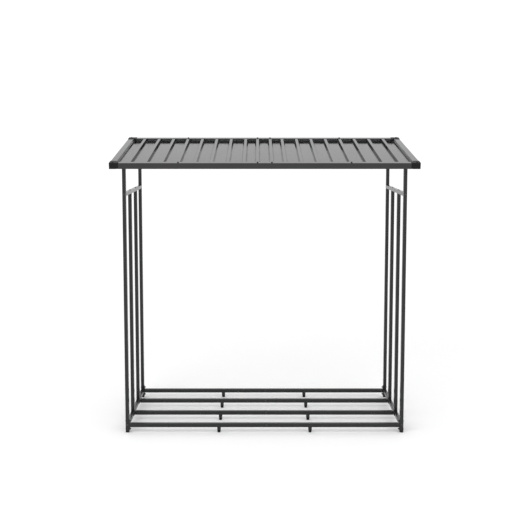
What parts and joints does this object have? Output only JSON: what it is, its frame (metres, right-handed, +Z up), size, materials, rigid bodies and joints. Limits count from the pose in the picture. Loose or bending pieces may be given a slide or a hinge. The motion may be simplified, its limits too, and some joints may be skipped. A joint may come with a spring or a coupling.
{
  "type": "firewood log rack",
  "caption": "Tall open firewood rack of square steel tube: barred side frames, slatted floor rails on feet, and a single-slope ribbed metal roof.",
  "frame": {"origin": "on the floor below the middle of the rack, at the centre of the base of its box", "axes": "+X to the right along the width seen from the front, +Y to the rear, +Z up"},
  "size_m": [1.883, 0.8024, 1.845],
  "materials": {
    "frame_paint": "anthracite powder coat, satin, fine grain",
    "roof_coating": "smooth satin anthracite coil coat, with a mid-grey back coat on the inner faces",
    "black_plastic": "black moulded polypropylene, fine texture",
    "dark_fasteners": "black zinc plated steel"
  },
  "bodies": {
    "root": {"post_front_left": "frame_paint", "post_front_right": "frame_paint", "post_rear_left": "frame_paint", "post_rear_right": "frame_paint", "post_foot_front_left": "black_plastic", "post_foot_front_right": "black_plastic", "post_foot_rear_left": "black_plastic", "post_foot_rear_right": "black_plastic", "top_rail_left": "frame_paint", "top_rail_right": "frame_paint", "bottom_rail_left": "frame_paint", "bottom_rail_right": "frame_paint", "side_bar_front_left": "frame_paint", "side_bar_front_right": "frame_paint", "side_bar_rear_left": "frame_paint", "side_bar_rear_right": "frame_paint", "floor_rail_front_left": "frame_paint", "floor_rail_front_right": "frame_paint", "floor_rail_mid_front_left": "frame_paint", "floor_rail_mid_front_right": "frame_paint", "floor_rail_mid_rear_left": "frame_paint", "floor_rail_mid_rear_right": "frame_paint", "floor_rail_rear_left": "frame_paint", "floor_rail_rear_right": "frame_paint", "floor_end_plates": "frame_paint", "support_legs": "frame_paint", "support_foot_tips": "black_plastic", "roof_beam_front_left": "frame_paint", "roof_beam_front_right": "frame_paint", "roof_beam_rear_left": "frame_paint", "roof_beam_rear_right": "frame_paint", "beam_end_plugs": "black_plastic", "beam_splice_front": "frame_paint", "beam_splice_rear": "frame_paint", "roof_sheet_left": "roof_coating", "roof_sheet_right": "roof_coating", "fascia_front_left": "roof_coating", "fascia_front_right": "roof_coating", "fascia_rear_left": "roof_coating", "fascia_rear_right": "roof_coating", "fascia_side_left": "roof_coating", "fascia_side_right": "roof_coating", "fascia_joiner_front": "roof_coating", "fascia_joiner_rear": "roof_coating", "corner_cap_front_left": "black_plastic", "corner_cap_front_right": "black_plastic", "corner_cap_rear_left": "black_plastic", "corner_cap_rear_right": "black_plastic", "side_rail_bolts": "dark_fasteners", "side_bar_bolts": "dark_fasteners", "floor_plate_bolts": "dark_fasteners", "floor_plate_nuts": "dark_fasteners", "rail_joint_bolts": "dark_fasteners", "rail_joint_nuts": "dark_fasteners", "beam_post_bolts": "dark_fasteners", "splice_bolts": "dark_fasteners", "splice_nuts": "dark_fasteners", "sheet_screws": "dark_fasteners", "fascia_screws": "dark_fasteners", "joiner_rivets": "dark_fasteners"}
  },
  "joints": []
}
